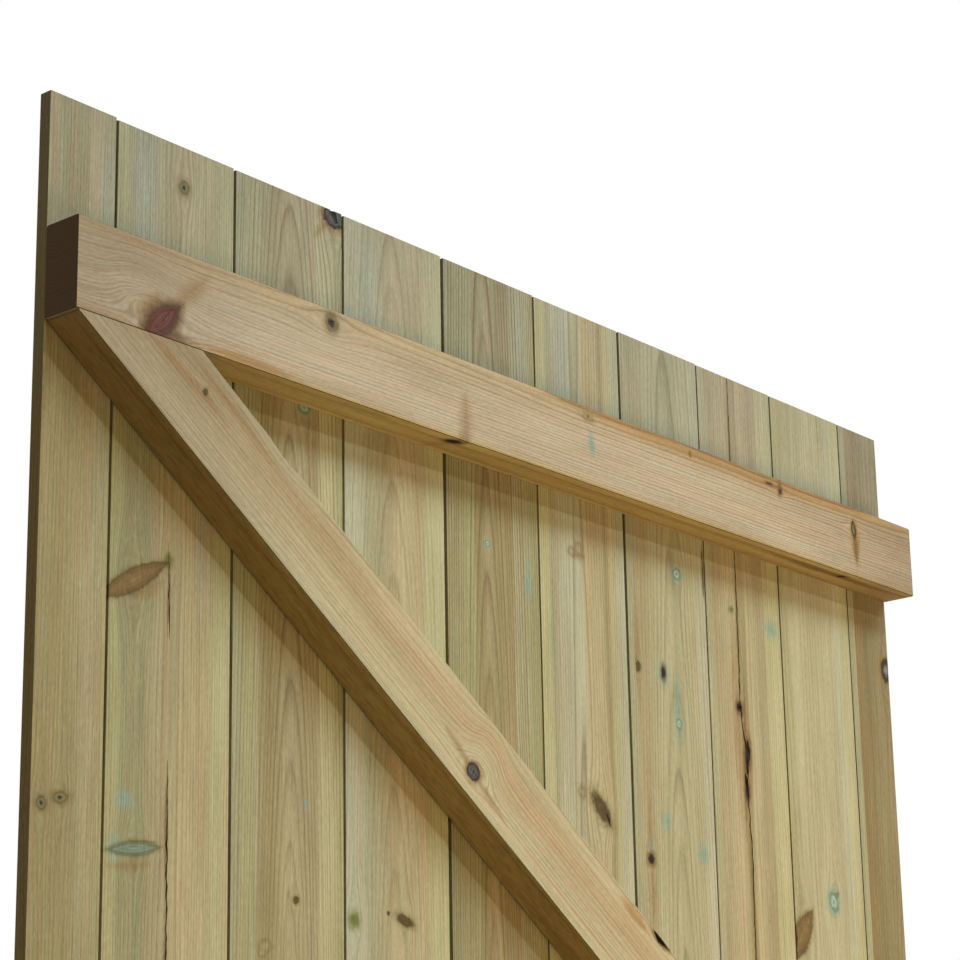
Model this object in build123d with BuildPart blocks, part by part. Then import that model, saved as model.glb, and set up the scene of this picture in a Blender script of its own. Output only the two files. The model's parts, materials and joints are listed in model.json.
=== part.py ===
from build123d import *
from math import asin, atan2, cos, degrees, hypot, sin, tan
import os

# A ledged and braced garden gate of tongue-and-groove boards, as a bare leaf.
# +X runs from the closing edge to the hanging edge, +Y from the ledges to the flat
# front face, and +Z up. The origin is on the lower hinge seat, on the bottom ledge.
# All sizes are millimetres.

# Boards: full boards between two ripped ones
BOARD_COVER = 120.0
FULL_BOARDS = 8
CLOSING_BOARD_WIDTH = 64.0
HANGING_BOARD_WIDTH = 69.0
BOARD_THICKNESS = 11.0
GATE_HEIGHT = 1800.0

# How far each board's top end stands below the tallest, from the closing edge on
TOP_DROPS = (0.0, 1.5, 2.0, 2.5, 3.0, 3.5, 3.2, 3.8, 4.2, 4.4)

# Open joints between the boards, as the timber has dried
JOINT_GAPS = (1.7, 2.0, 1.9, 3.0, 1.4, 2.6, 1.2, 1.6, 1.2)

# Tongue-and-groove profile
TONGUE_LENGTH = 6.5
TONGUE_THICKNESS = 3.2
TONGUE_SETBACK = 3.4
TONGUE_TIP_RADIUS = 0.9
TONGUE_SIDE_CLEARANCE = 0.2
TONGUE_END_CLEARANCE = 0.6
FRONT_BEVEL = 2.5
BACK_EASING = 0.5

# Ledges: three rails across the boards
LEDGE_HEIGHT = 70.0
LEDGE_DEPTH = 34.0
TOP_MARGIN = 105.0
BOTTOM_MARGIN = 105.0
MIDDLE_LEDGE_DROP = 865.0

# Braces: one in each bay, with its foot at the hanging edge
BRACE_WIDTH = 70.0
BRACE_TIP_TRIM = 2.5

# Planed timber has its long arrises eased
ARRIS_RADIUS = 1.5

# Hinge seat, measured in from the hanging edge
HINGE_INSET = 150.0

# Places that follow from the sizes
GATE_WIDTH = CLOSING_BOARD_WIDTH + FULL_BOARDS * BOARD_COVER + HANGING_BOARD_WIDTH
HANGING_EDGE = HINGE_INSET
CLOSING_EDGE = HANGING_EDGE - GATE_WIDTH
FIRST_JOINT = CLOSING_EDGE + CLOSING_BOARD_WIDTH
BOARD_BACK = LEDGE_DEPTH
BOARD_FRONT = BOARD_BACK + BOARD_THICKNESS
GATE_FOOT = -BOTTOM_MARGIN - LEDGE_HEIGHT / 2
GATE_TOP = GATE_FOOT + GATE_HEIGHT
TONGUE_MIDDLE = BOARD_BACK + TONGUE_SETBACK + TONGUE_THICKNESS / 2
GROOVE_DEPTH = TONGUE_LENGTH + TONGUE_END_CLEARANCE
GROOVE_WIDTH = TONGUE_THICKNESS + 2 * TONGUE_SIDE_CLEARANCE
TOP_LEDGE_MIDDLE = GATE_TOP - TOP_MARGIN - LEDGE_HEIGHT / 2
MIDDLE_LEDGE_MIDDLE = GATE_TOP - MIDDLE_LEDGE_DROP - LEDGE_HEIGHT / 2
BOTTOM_LEDGE_MIDDLE = GATE_FOOT + BOTTOM_MARGIN + LEDGE_HEIGHT / 2

os.makedirs("parts", exist_ok=True)


# One vertical board, with a groove on its left edge and a tongue on its right
def make_board(left, right, top, grooved, tongued):
    with BuildPart() as board:
        with BuildSketch(Plane.XY.offset(GATE_FOOT)) as section:
            with Locations(((left + right) / 2, (BOARD_BACK + BOARD_FRONT) / 2)):
                Rectangle(right - left, BOARD_THICKNESS)
            # The jointed edges are bevelled on the front and eased towards the ledges
            for edge, jointed in ((left, grooved), (right, tongued)):
                if jointed:
                    corners = section.vertices().sort_by_distance((edge, BOARD_FRONT, GATE_FOOT))
                    chamfer(corners[0], length=FRONT_BEVEL)
                    corners = section.vertices().sort_by_distance((edge, BOARD_BACK, GATE_FOOT))
                    chamfer(corners[0], length=BACK_EASING)
            if tongued:
                with Locations((right + TONGUE_LENGTH / 2, TONGUE_MIDDLE)):
                    Rectangle(TONGUE_LENGTH, TONGUE_THICKNESS)
                fillet(section.vertices().group_by(Axis.X)[-1], TONGUE_TIP_RADIUS)
            if grooved:
                with Locations((left + GROOVE_DEPTH / 2, TONGUE_MIDDLE)):
                    Rectangle(GROOVE_DEPTH, GROOVE_WIDTH, mode=Mode.SUBTRACT)
        extrude(amount=top - GATE_FOOT)
    return board.part


# One ledge, square cut at the gate's two edges
def make_ledge(middle):
    with BuildPart() as ledge:
        with BuildSketch(Plane.YZ.offset(CLOSING_EDGE)) as section:
            with Locations((LEDGE_DEPTH / 2, middle)):
                Rectangle(LEDGE_DEPTH, LEDGE_HEIGHT)
            fillet(section.vertices(), ARRIS_RADIUS)
        extrude(amount=GATE_WIDTH)
    return ledge.part


# One brace, cut to sit under the ledge above and on the ledge below. Its lower edge
# aims at the corner under the upper ledge, its upper edge at the opposite corner.
def make_brace(head, foot):
    bay = head - foot
    diagonal = hypot(GATE_WIDTH, bay)
    slope = atan2(bay, GATE_WIDTH) + asin(BRACE_WIDTH / diagonal)
    seat_length = BRACE_WIDTH / sin(slope)
    tip_height = BRACE_TIP_TRIM * tan(slope)
    with BuildPart() as brace:
        with BuildSketch(Plane.XZ.offset(-LEDGE_DEPTH)):
            with BuildLine():
                Polyline(
                    (CLOSING_EDGE + BRACE_TIP_TRIM, head),
                    (CLOSING_EDGE + seat_length, head),
                    (HANGING_EDGE - BRACE_TIP_TRIM, foot + tip_height),
                    (HANGING_EDGE - BRACE_TIP_TRIM, foot),
                    (HANGING_EDGE - seat_length, foot),
                    (CLOSING_EDGE + BRACE_TIP_TRIM, head - tip_height),
                    close=True,
                )
            make_face()
        extrude(amount=LEDGE_DEPTH)
        run = Axis((0, 0, 0), (cos(slope), 0, -sin(slope)))
        fillet(brace.edges().filter_by(run), ARRIS_RADIUS)
    return brace.part


# A short list repeats if the gate gets more boards
def repeating(values, index):
    return values[index % len(values)]


# The boards, from the closing edge to the hanging edge
joints = [FIRST_JOINT + BOARD_COVER * index for index in range(FULL_BOARDS + 1)]
board_count = len(joints) + 1

for index in range(board_count):
    grooved = index > 0
    tongued = index < board_count - 1
    left = joints[index - 1] + repeating(JOINT_GAPS, index - 1) / 2 if grooved else CLOSING_EDGE
    right = joints[index] - repeating(JOINT_GAPS, index) / 2 if tongued else HANGING_EDGE
    board = make_board(left, right, GATE_TOP - repeating(TOP_DROPS, index), grooved, tongued)
    board.label = f"board_{index + 1:02d}"
    export_step(board, f"parts/{board.label}.step")

# The ledges
for name, middle in (
    ("top_ledge", TOP_LEDGE_MIDDLE),
    ("middle_ledge", MIDDLE_LEDGE_MIDDLE),
    ("bottom_ledge", BOTTOM_LEDGE_MIDDLE),
):
    ledge = make_ledge(middle)
    ledge.label = name
    export_step(ledge, f"parts/{name}.step")

# The braces, one in each bay between two ledges
for name, above, below in (
    ("upper_brace", TOP_LEDGE_MIDDLE, MIDDLE_LEDGE_MIDDLE),
    ("lower_brace", MIDDLE_LEDGE_MIDDLE, BOTTOM_LEDGE_MIDDLE),
):
    brace = make_brace(above - LEDGE_HEIGHT / 2, below + LEDGE_HEIGHT / 2)
    brace.label = name
    export_step(brace, f"parts/{name}.step")
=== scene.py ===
# %% [markdown]
# A bare leaf of a ledged and braced garden gate: tongue-and-groove boards, three ledges
# and two braces, all in pressure treated pine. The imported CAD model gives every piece
# at its real size. This lesson adds what planed pine looks like: growth rings, straight
# bands of sapwood, knots that the grain flows round, drying cracks, and screws.

# %% Load the frame
import json
import math
import random

import bmesh
import bpy
from mathutils import Matrix, Vector

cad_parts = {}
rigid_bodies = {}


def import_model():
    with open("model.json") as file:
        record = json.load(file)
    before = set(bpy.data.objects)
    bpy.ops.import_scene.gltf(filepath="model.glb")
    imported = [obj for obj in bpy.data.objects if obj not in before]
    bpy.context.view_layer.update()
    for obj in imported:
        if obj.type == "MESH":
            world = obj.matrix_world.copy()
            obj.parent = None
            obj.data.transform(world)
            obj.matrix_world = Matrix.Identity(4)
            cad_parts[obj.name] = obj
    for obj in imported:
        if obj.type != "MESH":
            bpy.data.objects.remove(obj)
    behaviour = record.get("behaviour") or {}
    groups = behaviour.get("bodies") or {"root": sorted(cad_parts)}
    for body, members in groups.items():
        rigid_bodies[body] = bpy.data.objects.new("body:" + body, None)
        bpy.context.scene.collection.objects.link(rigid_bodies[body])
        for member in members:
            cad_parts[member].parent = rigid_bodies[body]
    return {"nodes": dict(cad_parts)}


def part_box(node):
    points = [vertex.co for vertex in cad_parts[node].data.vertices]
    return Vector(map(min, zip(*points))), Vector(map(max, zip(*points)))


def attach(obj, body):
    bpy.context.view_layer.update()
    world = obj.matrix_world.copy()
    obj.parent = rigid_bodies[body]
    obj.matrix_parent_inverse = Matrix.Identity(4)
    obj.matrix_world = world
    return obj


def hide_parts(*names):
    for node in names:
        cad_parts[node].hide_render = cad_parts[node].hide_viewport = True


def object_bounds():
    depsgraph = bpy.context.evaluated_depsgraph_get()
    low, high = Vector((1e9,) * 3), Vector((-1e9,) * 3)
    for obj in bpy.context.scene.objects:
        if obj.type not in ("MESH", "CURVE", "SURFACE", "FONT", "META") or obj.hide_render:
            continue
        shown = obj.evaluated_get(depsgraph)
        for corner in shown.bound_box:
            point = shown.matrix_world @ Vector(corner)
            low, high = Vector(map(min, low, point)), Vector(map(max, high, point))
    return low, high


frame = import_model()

cad_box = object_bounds()
print("nodes:", len(frame["nodes"]), "CAD box:", [list(corner) for corner in cad_box])

# %% [markdown]
# Blender works in metres and the timber was measured in millimetres, so one value turns
# one into the other. The gate's own lines come from the frame: its edges, its top, and
# the face where the boards meet the ledges.

# %% Sizes from the frame
MM = 0.001
closing_edge = cad_box[0].x
hanging_edge = cad_box[1].x
gate_top = cad_box[1].z
gate_foot = cad_box[0].z
board_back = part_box("board_05")[0].y
board_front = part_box("board_05")[1].y
gate_middle = (closing_edge + hanging_edge) / 2
print("width mm:", round((hanging_edge - closing_edge) / MM), "height mm:",
        round((gate_top - gate_foot) / MM))

# %% [markdown]
# The photograph looks up along the ledge side from low on the left, with only the top
# half of the gate in the picture. A camera is a place and three directions. The place
# and the angles below were fitted to the joints, the ledge and the brace. The lens is
# long. The shift stays small, because every other view keeps it too.

# %% The camera
CAMERA_PLACE = Vector((-2.069, -1.309, 0.826))
CAMERA_HEADING = math.radians(49.87)
CAMERA_PITCH = math.radians(15.99)
CAMERA_ROLL = math.radians(1.05)
FOCAL_PIXELS = 2640
PICTURE_PIXELS = 960
SENSOR_WIDTH = 36
CAMERA_SHIFT = 0.06

forward = Vector((math.sin(CAMERA_HEADING) * math.cos(CAMERA_PITCH),
        math.cos(CAMERA_HEADING) * math.cos(CAMERA_PITCH), math.sin(CAMERA_PITCH)))
level = Vector((math.cos(CAMERA_HEADING), -math.sin(CAMERA_HEADING), 0))
upward = level.cross(forward)
right = level * math.cos(CAMERA_ROLL) - upward * math.sin(CAMERA_ROLL)
up = level * math.sin(CAMERA_ROLL) + upward * math.cos(CAMERA_ROLL)

lens = bpy.data.cameras.new("camera")
lens.sensor_width = SENSOR_WIDTH
lens.lens = FOCAL_PIXELS / PICTURE_PIXELS * SENSOR_WIDTH
lens.shift_y = CAMERA_SHIFT
camera = bpy.data.objects.new("camera", lens)
camera.matrix_world = Matrix.Translation(CAMERA_PLACE) @ Matrix((right, up, -forward)).transposed().to_4x4()
bpy.context.collection.objects.link(camera)
bpy.context.scene.camera = camera
bpy.context.scene.view_settings.view_transform = "Standard"
print("lens mm:", round(lens.lens, 1))

# %% [markdown]
# One helper adds any node, with its settings and its inputs. An input may be a plain
# value, a socket, or another node, whose first output is used. The others empty a tree,
# turn a colour written as sRGB hex into the linear numbers that shaders take, fill a
# colour ramp, and put a new piece into the scene.

# %% Node, colour and object helpers
def add(tree, kind, *inputs, **settings):
    """Adds a node. Inputs come in order, or by name in a dictionary. Shader kinds leave out ShaderNode."""
    node = tree.nodes.new("ShaderNode" + kind if tree.type == "SHADER" else kind)
    for name, value in settings.items():
        setattr(node, name, value)
    named = inputs[0] if inputs and isinstance(inputs[0], dict) else dict(enumerate(inputs))
    for name, value in named.items():
        if isinstance(value, bpy.types.Node):
            value = value.outputs[0]
        if isinstance(value, bpy.types.NodeSocket):
            tree.links.new(value, node.inputs[name])
        else:
            node.inputs[name].default_value = value
    return node


def empty_tree(owner):
    """Switches a material or a world to nodes and clears them."""
    owner.use_nodes = True
    owner.node_tree.nodes.clear()
    return owner.node_tree


def linear(code):
    channels = [int(code[start:start + 2], 16) / 255 for start in (1, 3, 5)]
    return [c / 12.92 if c <= 0.04045 else ((c + 0.055) / 1.055) ** 2.4 for c in channels] + [1]


def set_stops(ramp, stops):
    elements = ramp.color_ramp.elements
    while len(elements) > 1:
        elements.remove(elements[-1])
    for index, (place, colour) in enumerate(stops):
        element = elements[0] if index == 0 else elements.new(place)
        element.position = place
        element.color = colour


def add_object(name, data):
    piece = bpy.data.objects.new(name, data)
    bpy.context.collection.objects.link(piece)
    return piece


def as_mesh(form, name):
    """Turns an edited form into a new mesh."""
    mesh = bpy.data.meshes.new(name)
    form.to_mesh(mesh)
    form.free()
    return mesh


print("linear mid grey:", [round(c, 3) for c in linear("#808080")])

# %% [markdown]
# Pressure treated pine is not one colour. The sapwood takes up the green copper salts and
# turns yellow-green, while the heartwood keeps a pink or grey-brown. Planed flat, a board
# shows the two as straight bands. Naming the few tones once keeps the boards related.

# %% The tones of treated pine
SAP_LIGHT = "#b6ae81"
SAP_YELLOW = "#aea57f"
SAP_GREEN = "#a59d70"
HEART_LIGHT = "#b4a47c"
HEART_TAN = "#a89973"
HEART_BROWN = "#9b8c62"
HEART_DARK = "#8f805b"
HEART_DEEP = "#85744d"
GREY_GREEN = "#a49e79"
GREY_LIGHT = "#b4ae8e"
OLIVE = "#979069"
RAIL_PINK = "#b9a584"
RAIL_PALE = "#c0ad8e"
RAIL_TAN = "#bba57c"
RAIL_STRAW = "#bfb089"
RAIL_EDGE = "#bba46e"
# Tones towards the ends of a board and of a rail
BOARD_END_TONE = "#939182"
RAIL_END_TONE = "#7d6a50"
# Painted shade for faces deep in joints, cracks and pockets
RECESS_SHADE = "#2b2115"
print("sapwood:", SAP_LIGHT, "to", SAP_GREEN, "heartwood:", HEART_LIGHT, "to", HEART_DEEP)

# %% [markdown]
# Wood is a solid pattern, so it is written in the timber's own directions: across the
# face, into the depth, and along the grain. Growth rings are cylinders round the pith,
# so one distance from the pith line gives the straight lines on one face, the arches on
# another and the curves on the end grain. A knot pushes the grain aside: the nearer a
# point is, the more its place across the board is drawn to the knot, so the lines bow
# round it. All lengths in these trees are millimetres.

# %% Grain that flows round knots
GRAIN_WANDER_MM = 5


def timber_point(tree, figure):
    """The point in the timber's own directions: across, depth, along."""
    place = add(tree, "TexCoord").outputs["Object"]
    return add(tree, "Mapping", {
        "Vector": place,
        "Location": figure["origin"],
        "Rotation": (0, figure["turn"], 0),
        "Scale": (1 / MM, 1 / MM, 1 / MM),
    })


def stretched_noise(tree, point, across, along, seed, detail=2):
    """Noise drawn out along the grain: across and along are the sizes of its patches."""
    scaled = add(tree, "VectorMath", point, (1 / across, 1 / across, 1 / along), (seed, seed, seed),
            operation="MULTIPLY_ADD")
    return add(tree, "TexNoise", {"Vector": scaled, "Scale": 1.0, "Detail": detail})


def knot_distance(tree, offset, knot, leaf_shaped):
    """How far a point is from a knot's middle: 1 on the knot's rim. A buried knot has a depth of its own."""
    half_width, half_height, lean, *buried = knot[2:]
    into = 1 / buried[1] if buried else 0
    turned = add(tree, "VectorRotate", {"Vector": offset, "Angle": math.radians(lean)},
            rotation_type="Y_AXIS")
    scaled = add(tree, "VectorMath", turned, (1 / half_width, into, 1 / half_height),
            operation="MULTIPLY")
    if not leaf_shaped:
        return add(tree, "VectorMath", scaled, operation="LENGTH").outputs["Value"]
    sides = add(tree, "SeparateXYZ", scaled).outputs
    rise = add(tree, "Math", sides["Z"], operation="ABSOLUTE")
    bowed = add(tree, "Math", sides["X"], sides["X"], rise, operation="MULTIPLY_ADD")
    return add(tree, "Math", sides["Y"], sides["Y"], bowed, operation="MULTIPLY_ADD")


def nearness(tree, offset, reach_across, reach_along):
    """1 at a middle and falling to 0 away from it, further along the grain than across."""
    near = add(tree, "VectorMath", offset, (1 / reach_across, 0, 1 / reach_along), operation="MULTIPLY")
    spread = add(tree, "VectorMath", near, near, operation="DOT_PRODUCT").outputs["Value"]
    squared = add(tree, "Math", spread, spread, 1.0, operation="MULTIPLY_ADD")
    return add(tree, "Math", 1.0, squared, operation="DIVIDE")


def push_aside(tree, offset, knot):
    """The shift that draws the grain lines round one knot."""
    size = min(knot[2], knot[3])
    pull = nearness(tree, offset, FLOW_ACROSS * size, FLOW_ALONG * size)
    only_across = add(tree, "VectorMath", offset, (-GIVING_WAY, 0, 0), operation="MULTIPLY")
    return add(tree, "VectorMath", {0: only_across, "Scale": pull}, operation="SCALE")


print("grain helpers ready")

# %% [markdown]
# No two knots look alike, but they fall into a few kinds. An eye is the cut stub of a live
# branch: dark pith, pale rings, thin rim. A dead branch leaves a loose dark pit. A branch
# cut along its length leaves a leaf-shaped spike. Copper salts gather in soft wood round
# some of them and turn it blue-green, and resin leaves streaks drawn out along the grain.
# Each kind has tones from its middle to its rim, the rim's softness and a stain round it.

# %% Kinds of knot
LEAF_KNOTS = ("spike", "blue spike", "red", "flame", "streak", "gold", "slit")
SOFT_KNOTS = ("stain", "grey", "faint", "flame", "streak", "gold")
# Tone, reach and strength of the stain, rim of the core, cover, and tones from the middle out
KNOT_KINDS = {
    "grey": ("#a1a28f", 1.1, 0.0, (0.0, 1.1), 0.5, [(0, "#9aa090"), (1, "#a3a390")]),
    "stain": ("#8ba08a", 1.5, 0.35, (0.1, 1.2), 0.8, [(0, "#829b86"), (1, "#92a187")]),
    "gold": ("#a9814c", 1.1, 0.0, (0.2, 1.0), 0.8, [(0, "#9f7a43"), (1, "#ad8850")]),
    "flame": ("#98744a", 1.2, 0.0, (0.0, 1.0), 0.6, [(0, "#876538"), (1, "#987a48")]),
    "streak": ("#7d5f34", 1.3, 0.0, (0.0, 1.0), 0.8, [(0, "#5d421f"), (1, "#80602f")]),
    "faint": ("#9c8d63", 1.8, 0.25, (0.6, 1.3), 0.6, [
        (0, "#a3966c"), (0.4, "#a09268"), (0.8, "#6f5c34"), (1, "#877548")]),
    "olive": ("#857a48", 1.8, 0.55, (0.6, 1.25), 1.0, [
        (0, "#4a3d1c"), (0.4, "#5b4a22"), (0.8, "#423616"), (1, "#6c5e30")]),
    "moss": ("#85834e", 1.8, 0.45, (0.5, 1.3), 0.9, [(0, "#56592a"), (0.5, "#6d6d36"), (1, "#76743f")]),
    "eye": ("#7d6c3e", 2.4, 0.6, (0.8, 1.35), 0.95, [
        (0, "#0d0904"), (0.26, "#241c0d"), (0.44, "#7c7348"), (0.62, "#80774d"), (0.8, "#594d29"),
        (1, "#6f6136")]),
    "dark eye": ("#8a7850", 1.9, 0.5, (0.7, 1.3), 0.95, [
        (0, "#120c06"), (0.3, "#1c140a"), (0.46, "#5c4c2c"), (0.7, "#857449"), (0.86, "#6b5b34"),
        (1, "#88774c")]),
    "pearl": ("#8ba08a", 2.0, 0.5, (0.7, 1.3), 0.95, [
        (0, "#47573f"), (0.15, "#86a08a"), (0.42, "#b0c0aa"), (0.62, "#769681"), (0.85, "#66704a"),
        (1, "#85875a")]),
    "slate": ("#7f5c32", 1.8, 0.7, (0.85, 1.2), 1.0, [
        (0, "#4d4b43"), (0.3, "#66635a"), (0.5, "#3b362e"), (0.64, "#5f5b50"), (0.78, "#1f1a14"),
        (0.95, "#261e15"), (1, "#553c22")]),
    "hollow": ("#85703f", 1.6, 0.6, (0.85, 1.2), 1.0, [
        (0, "#83836f"), (0.28, "#77745e"), (0.48, "#352c1f"), (0.7, "#2c1a0d"), (0.9, "#483417"),
        (1, "#65542b")]),
    "spike": ("#857546", 1.5, 0.6, (0.8, 1.15), 0.95, [
        (0, "#8a7044"), (0.16, "#705830"), (0.34, "#80663a"), (0.52, "#6a512a"), (0.7, "#735a30"),
        (0.9, "#4c3b19"), (1, "#625026")]),
    "blue spike": ("#7d7545", 1.6, 0.5, (0.65, 1.25), 0.92, [
        (0, "#86927a"), (0.2, "#5f6d58"), (0.42, "#87917a"), (0.6, "#515a40"), (0.76, "#737a5c"),
        (0.92, "#4c3b17"), (1, "#6e5f33")]),
    "red": ("#5f4023", 2.1, 0.85, (0.7, 1.25), 1.0, [
        (0, "#7c4c38"), (0.18, "#45211a"), (0.36, "#744636"), (0.56, "#3f1f18"), (0.76, "#663b2a"),
        (0.92, "#2e1a0c"), (1, "#472d17")]),
    "slit": ("#6b5226", 1.8, 0.7, (0.85, 1.2), 1.0, [
        (0, "#a6946a"), (0.22, "#857450"), (0.45, "#231b0c"), (0.8, "#2e2611"), (1, "#5a4722")]),
    "bark": ("#7d5a30", 2.2, 0.6, (0.6, 1.25), 1.0, [(0, "#3a220e"), (0.6, "#4f3115"), (1, "#74522a")]),
    "pit": ("#624620", 2.4, 0.75, (0.75, 1.25), 1.0, [(0, "#0d0803"), (0.6, "#1a1007"), (1, "#422d14")]),
}
print("kinds of knot:", ", ".join(KNOT_KINDS))

# %% [markdown]
# One function makes the finish of any piece of pine from its figure: where the pith lies,
# how wide the rings are, the bands across the face, and the knots. It was kept as one
# recipe because every piece here is the same timber from the same mill. The sawn ends
# drink up more of the treatment, so they are dark. The wood is also made darker and duller towards the ends.

# %% Values of the pine recipe
# Sizes of the patches, across and along the grain in millimetres
DRIFT_MM = (120, 650)
RAGGED_MM = (4, 4)
FIBRE_MM = (1.3, 60)
SPECK_MM = (0.9, 5)
STREAK_MM = (6, 500)
CLOUD_MM = (26, 160)
SMEAR_MM = (3, 14)
# Depths in millimetres of the faces that get painted shade in joints, cracks and pockets
INSIDE_MM = (0.2, 8.4)

# How strongly each layer shows
CLOUD_SHARE = 0.35
FIBRE_SHARE = 0.5
SPECK_SHARE = 0.45
RECESS_SHADE_SHARE = 0.85
STREAK_EDGES = (0.36, 0.64)
SMEAR_EDGES = (0.45, 0.7)

# How squarely a surface has to face down, or along the grain, to count as such
UNDER_FACING = (0.6, 0.95)
SAWN_FACING = (0.75, 0.95)

# Growth rings: the pale earlywood ends in a thin dark line, and no two years are alike
LATEWOOD = [(0, 0.3), (0.12, 0), (0.5, 0.05), (0.78, 0.55), (0.92, 1), (1, 0.3)]
YEARS_SCALE = 0.09
YEARS_SPREAD = 2.2
WEAKEST_YEAR = 0.45

# Knots: how far the grain gives way, and how ragged the rims are
FLOW_ACROSS = 1.6
FLOW_ALONG = 3.8
GIVING_WAY = 0.92
KNOT_TILT = (0.2, 0, 0.6)
LEAF_WOBBLE = 0.65
ROUND_WOBBLE = 1.1
RAGGED = 0.6
HALO_START = 0.9

# Tones that every piece shares
# Painted shade, smeared in patches on faces that look down
SMEAR = "#4f3c22"
WARM_STREAK = "#fff6e9"
GREEN_STREAK = "#f3fbf5"
END_GRAIN = "#655039"
END_RINGS = "#554230"

# Planed softwood is a dry satin
RELIEF_OF_RINGS = 0.6
RELIEF = 0.25 * MM
RELIEF_STRENGTH = 0.35
ROUGHNESS = (0.62, 0.88)
SPECULAR = 0.2
print("ring shades:", len(LATEWOOD))

# %% [markdown]
# Each layer of the recipe is a small function. Layers are colours laid over one another,
# each by its own share, as a painter lays glazes. A knot is a stain, then a core whose
# tones run from its middle to its rim, and the rim is never quite whole.

# %% Layers, rings and knots
def layered(tree, colour, *layers):
    """Lays colours over one another, each by its share and, where given, its way of blending."""
    for share, tone, *blend in layers:
        layer = add(tree, "Mix", {"Factor": share, 6: colour, 7: tone}, data_type="RGBA",
                blend_type=blend[0] if blend else "MIX")
        colour = layer.outputs[2]
    return colour


def ring_lines(tree, grain, figure):
    """Growth rings round the pith: 0 in the pale earlywood, up to 1 on the thin latewood lines."""
    pith_across, pith_depth = figure["pith"]
    slope, level = figure["pith_slope"]
    along = add(tree, "SeparateXYZ", grain).outputs["Z"]
    leaning = add(tree, "VectorMath", along, (0, slope, 0), grain, operation="MULTIPLY_ADD")
    from_pith = add(tree, "VectorMath", leaning, (pith_across, pith_depth + slope * level, 0),
            operation="SUBTRACT")
    in_section = add(tree, "VectorMath", from_pith, (1, 1, 0), operation="MULTIPLY")
    radius = add(tree, "VectorMath", in_section, operation="LENGTH").outputs["Value"]
    years = add(tree, "TexNoise", {"W": radius, "Scale": YEARS_SCALE, "Detail": 1.0}, noise_dimensions="1D")
    counted = add(tree, "Math", radius, 1 / figure["ring"], figure["seed"], operation="MULTIPLY_ADD")
    uneven = add(tree, "Math", years, YEARS_SPREAD, counted, operation="MULTIPLY_ADD")
    ring = add(tree, "Math", uneven, operation="FRACT")
    late = add(tree, "ValToRGB", {"Fac": ring})
    set_stops(late, [(place, [value, value, value, 1]) for place, value in LATEWOOD])
    year = add(tree, "Math", uneven, operation="FLOOR")
    weather = add(tree, "TexWhiteNoise", {"W": year}, noise_dimensions="1D").outputs["Value"]
    vigour = add(tree, "MapRange", {"Value": weather, "To Min": WEAKEST_YEAR, "To Max": 1.0})
    return add(tree, "Math", late, vigour, operation="MULTIPLY")


def lay_knots(tree, colour, kinds, nearest, ragged):
    """Stained wood round each knot, then its core, with a rim that is never quite whole."""
    for kind in kinds:
        stain, reach, strength, (inner, outer), cover, tones = KNOT_KINDS[kind]
        wobble = LEAF_WOBBLE if kind in LEAF_KNOTS else ROUND_WOBBLE
        rim = add(tree, "Math", ragged, wobble, nearest[kind], operation="MULTIPLY_ADD")
        if strength > 0:
            halo = add(tree, "MapRange", {"Value": rim, "From Min": HALO_START, "From Max": reach,
                    "To Min": strength, "To Max": 0.0}, interpolation_type="SMOOTHSTEP")
            colour = layered(tree, colour, (halo, linear(stain)))
        core = add(tree, "ValToRGB", {"Fac": rim})
        core.color_ramp.interpolation = "B_SPLINE"
        set_stops(core, [(place, linear(tone)) for place, tone in tones])
        inside = add(tree, "MapRange", {"Value": rim, "From Min": inner, "From Max": outer,
                "To Min": cover, "To Max": 0.0}, interpolation_type="SMOOTHSTEP")
        colour = layered(tree, colour, (inside, core))
    return colour


def hidden_faces(tree, straight, figure):
    """1 on faces that only show through an open joint, a crack or a pocket, which get painted shade."""
    parts = add(tree, "SeparateXYZ", straight).outputs
    shallow, deep = INSIDE_MM
    inside = add(tree, "Math", parts["Y"], (shallow + deep) / 2, (deep - shallow) / 2,
            operation="COMPARE")
    off_middle = add(tree, "Math", parts["X"], operation="ABSOLUTE")
    in_core = add(tree, "Math", off_middle, figure["core_half"], operation="LESS_THAN")
    facing = add(tree, "SeparateXYZ", add(tree, "TexCoord").outputs["Normal"]).outputs["Y"]
    outward = add(tree, "Math", facing, operation="ABSOLUTE")
    flat = add(tree, "Math", outward, 0.5, operation="GREATER_THAN")
    either = add(tree, "Math", in_core, flat, operation="MAXIMUM")
    return add(tree, "Math", inside, either, operation="MULTIPLY")


print("layers ready")

# %% [markdown]
# The grain isn't straight: the stem wandered, branches bowed it, and every knot pushes it
# aside. So the rings, the bands and the fibres are all drawn on a bent copy of the
# timber's own directions, while stains and dirt stay on the straight ones.

# %% Bent grain
def along_grain(tree, figure, straight):
    """The grain's own place for each point: it wanders, and it bows where a branch once was."""
    drift = stretched_noise(tree, straight, *DRIFT_MM, figure["seed"])
    centred = add(tree, "VectorMath", drift.outputs["Color"], (0.5, 0.5, 0.5), operation="SUBTRACT")
    grain = add(tree, "VectorMath", centred, (figure["wander"], figure["arch"], 0), straight,
            operation="MULTIPLY_ADD")
    for across, along, reach_across, reach_along, lift in figure["bows"]:
        offset = add(tree, "VectorMath", straight, (across, 0, along), operation="SUBTRACT")
        near = nearness(tree, offset, reach_across, reach_along)
        grain = add(tree, "VectorMath", near, (lift, 0, 0), grain, operation="MULTIPLY_ADD")
    return grain


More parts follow.
